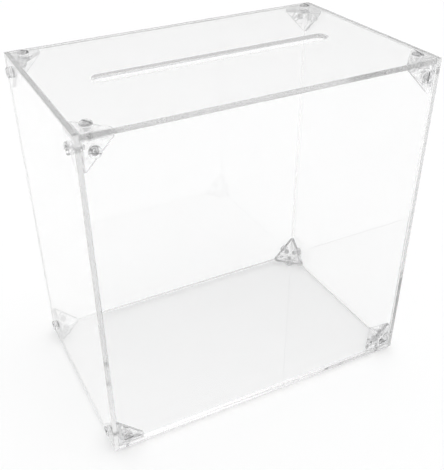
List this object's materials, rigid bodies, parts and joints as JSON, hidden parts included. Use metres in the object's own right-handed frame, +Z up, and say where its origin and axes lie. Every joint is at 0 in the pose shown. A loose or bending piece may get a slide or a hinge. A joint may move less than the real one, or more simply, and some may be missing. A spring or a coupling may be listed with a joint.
{
  "type": "card box",
  "caption": "Clear free-standing card box: flat acrylic sheets held by corner brackets and screws, with a lift-off lid that has a long round-ended slot for cards and envelopes.",
  "frame": {"origin": "on the surface the box stands on, under the middle of the box, at the faces of the lower screw heads", "axes": "+Z up, +X to the right along the slot, -Y out of the front sheet"},
  "size_m": [0.2602, 0.1652, 0.2592],
  "materials": {
    "acrylic_sheet": "polished",
    "bracket_plastic": "polished",
    "screw_plastic": "polished"
  },
  "bodies": {
    "box": {"bottom_panel": "acrylic_sheet", "front_panel": "acrylic_sheet", "back_panel": "acrylic_sheet", "left_panel": "acrylic_sheet", "right_panel": "acrylic_sheet", "bracket_bottom_front_left": "bracket_plastic", "bracket_bottom_front_right": "bracket_plastic", "bracket_bottom_back_left": "bracket_plastic", "bracket_bottom_back_right": "bracket_plastic", "bracket_top_front_left": "bracket_plastic", "bracket_top_front_right": "bracket_plastic", "bracket_top_back_left": "bracket_plastic", "bracket_top_back_right": "bracket_plastic", "bottom_screw_front_left": "screw_plastic", "bottom_screw_front_right": "screw_plastic", "bottom_screw_back_left": "screw_plastic", "bottom_screw_back_right": "screw_plastic", "front_screw_top_left": "screw_plastic", "front_screw_top_right": "screw_plastic", "front_screw_bottom_left": "screw_plastic", "front_screw_bottom_right": "screw_plastic", "back_screw_top_left": "screw_plastic", "back_screw_top_right": "screw_plastic", "back_screw_bottom_left": "screw_plastic", "back_screw_bottom_right": "screw_plastic", "left_screw_top_front": "screw_plastic", "left_screw_top_back": "screw_plastic", "left_screw_bottom_front": "screw_plastic", "left_screw_bottom_back": "screw_plastic", "right_screw_top_front": "screw_plastic", "right_screw_top_back": "screw_plastic", "right_screw_bottom_front": "screw_plastic", "right_screw_bottom_back": "screw_plastic"},
    "lid": {"top_panel": "acrylic_sheet"},
    "lid_screw_front_left": {"top_screw_front_left": "screw_plastic"},
    "lid_screw_front_right": {"top_screw_front_right": "screw_plastic"},
    "lid_screw_back_left": {"top_screw_back_left": "screw_plastic"},
    "lid_screw_back_right": {"top_screw_back_right": "screw_plastic"}
  },
  "joints": [
    {"name": "lid_lift", "type": "slide", "parent": "box", "child": "lid", "axis": [0, 0, 1], "range_m": [0, 0.12]},
    {"name": "lid_screw_front_left_turn", "type": "hinge", "parent": "lid", "child": "lid_screw_front_left", "pos_m": [-0.1163, -0.0688, 0.2568], "axis": [0, 0, 1], "continuous": true},
    {"name": "lid_screw_front_right_turn", "type": "hinge", "parent": "lid", "child": "lid_screw_front_right", "pos_m": [0.1163, -0.0688, 0.2568], "axis": [0, 0, 1], "continuous": true},
    {"name": "lid_screw_back_left_turn", "type": "hinge", "parent": "lid", "child": "lid_screw_back_left", "pos_m": [-0.1163, 0.0688, 0.2568], "axis": [0, 0, 1], "continuous": true},
    {"name": "lid_screw_back_right_turn", "type": "hinge", "parent": "lid", "child": "lid_screw_back_right", "pos_m": [0.1163, 0.0688, 0.2568], "axis": [0, 0, 1], "continuous": true}
  ]
}
